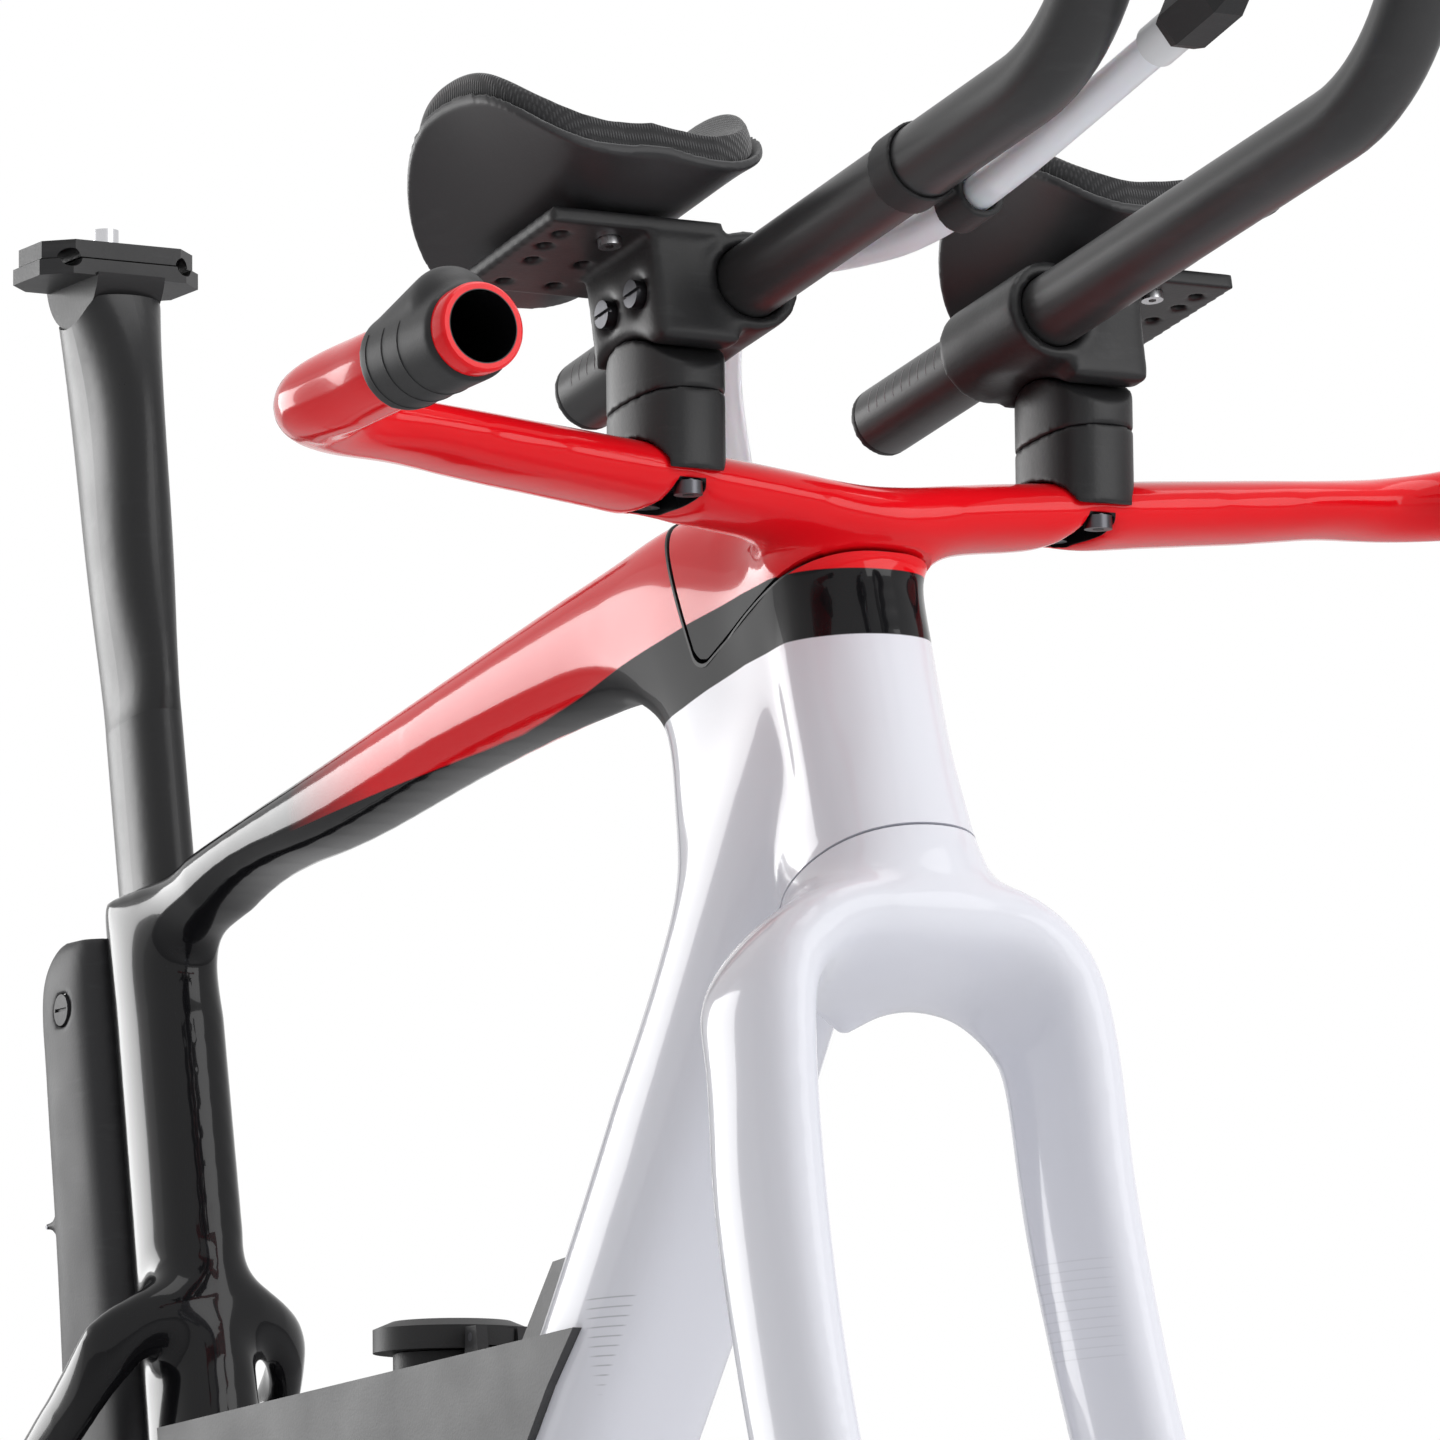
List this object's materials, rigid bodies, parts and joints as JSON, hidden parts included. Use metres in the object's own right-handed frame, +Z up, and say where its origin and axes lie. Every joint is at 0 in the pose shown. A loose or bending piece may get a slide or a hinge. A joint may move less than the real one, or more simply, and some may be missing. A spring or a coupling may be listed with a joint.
{
  "type": "time trial bicycle frameset",
  "caption": "Aero time trial bicycle frameset with fork, base bar with armrests and extensions, seatpost, storage boxes and a drink hose.",
  "frame": {"origin": "centre of the bottom bracket shell", "axes": "+X forward along the bike, +Y to the rider's left, +Z up"},
  "size_m": [1.1359, 0.4434, 0.774],
  "materials": {
    "frame_paint": "gloss clear coat over carbon composite",
    "stay_paint": "gloss black over carbon composite",
    "bar_paint": "gloss red over carbon composite",
    "post_finish": "satin black carbon composite",
    "box_plastic": "fine matte grain",
    "cap_rubber": "soft matte",
    "cast_black": "black anodised",
    "cup_plastic": "matte black",
    "pad_fabric": "ribbed textile over foam",
    "steel": "bright",
    "hose_clear": "translucent soft plastic"
  },
  "bodies": {
    "frame": {"main_frame": "frame_paint", "chain_stay_right": "stay_paint", "seat_stay_right": "stay_paint", "chain_stay_left": "stay_paint", "seat_stay_left": "stay_paint", "derailleur_hanger": "cast_black", "upper_bearing": "steel", "lower_bearing": "steel", "stem_seal": "cap_rubber", "seatpost_wedge": "cast_black", "wedge_bolt": "steel", "rear_box_shell": "box_plastic", "door_hinge_pin": "steel", "frame_box": "box_plastic", "box_cover_right": "box_plastic", "box_cover_left": "box_plastic", "fill_neck": "box_plastic", "cap_hinge_pin": "steel"},
    "steering": {"fork": "frame_paint", "base_bar": "bar_paint", "hose_port": "cap_rubber", "expander_plug": "cast_black", "top_cap": "cast_black", "preload_bolt": "steel", "compression_ring": "cast_black", "bar_tape_right": "cap_rubber", "bar_tape_left": "cap_rubber", "riser_bolts": "steel", "riser_lower_right": "cast_black", "riser_upper_right": "cast_black", "riser_lower_left": "cast_black", "riser_upper_left": "cast_black"},
    "seatpost": {"seatpost": "post_finish"},
    "saddle_clamp": {"saddle_clamp_lower": "cast_black", "saddle_clamp_upper": "cast_black", "saddle_nut": "steel", "saddle_bolt": "steel"},
    "rear_door": {"rear_box_door": "box_plastic"},
    "latch": {"box_latch": "box_plastic"},
    "fill_cap": {"fill_cap": "cap_rubber"},
    "right_armrest": {"armrest_bracket_right": "cast_black", "clamp_nuts_right": "steel", "cup_screws_right": "steel", "armrest_cup_right": "cup_plastic", "armrest_pad_right": "pad_fabric"},
    "left_armrest": {"armrest_bracket_left": "cast_black", "clamp_nuts_left": "steel", "cup_screws_left": "steel", "armrest_cup_left": "cup_plastic", "armrest_pad_left": "pad_fabric"},
    "right_extension": {"extension_right": "post_finish", "extension_plug_right": "cap_rubber", "drink_hose": "hose_clear", "hose_coupling": "hose_clear", "bite_valve": "cup_plastic", "hose_clip": "cup_plastic"},
    "left_extension": {"extension_left": "post_finish", "extension_plug_left": "cap_rubber"}
  },
  "joints": [
    {"name": "steering", "type": "hinge", "parent": "frame", "child": "steering", "pos_m": [0.4, 0, 0.515], "axis": [-0.3007, 0, 0.9537], "range_deg": [-30, 30]},
    {"name": "seatpost_slide", "type": "slide", "parent": "frame", "child": "seatpost", "axis": [-0.1788, 0, 0.9839], "range_m": [-0.03, 0.04]},
    {"name": "saddle_tilt", "type": "hinge", "parent": "seatpost", "child": "saddle_clamp", "pos_m": [-0.11136, 0, 0.703], "axis": [0, 1, 0], "range_deg": [-4, 4]},
    {"name": "rear_door_hinge", "type": "hinge", "parent": "frame", "child": "rear_door", "pos_m": [-0.1224, 0, 0.3635], "axis": [0, -1, 0], "range_deg": [0, 100]},
    {"name": "latch_turn", "type": "hinge", "parent": "frame", "child": "latch", "pos_m": [-0.106, -0.02, 0.438], "axis": [0, -1, 0], "range_deg": [0, 90]},
    {"name": "fill_cap_hinge", "type": "hinge", "parent": "frame", "child": "fill_cap", "pos_m": [0.1765, 0, 0.3054], "axis": [0, 1, 0], "range_deg": [0, 110]},
    {"name": "right_armrest_tilt", "type": "hinge", "parent": "steering", "child": "right_armrest", "pos_m": [0.42, -0.071, 0.553], "axis": [0, 1, 0], "range_deg": [-5, 5], "deforming": ["drink_hose"]},
    {"name": "right_extension_slide", "type": "slide", "parent": "right_armrest", "child": "right_extension", "axis": [0.9848, 0, 0.1736], "range_m": [-0.04, 0.04], "deforming": ["drink_hose"]},
    {"name": "left_armrest_tilt", "type": "hinge", "parent": "steering", "child": "left_armrest", "pos_m": [0.42, 0.071, 0.553], "axis": [0, 1, 0], "range_deg": [-5, 5]},
    {"name": "left_extension_slide", "type": "slide", "parent": "left_armrest", "child": "left_extension", "axis": [0.9848, 0, 0.1736], "range_m": [-0.04, 0.04]}
  ]
}
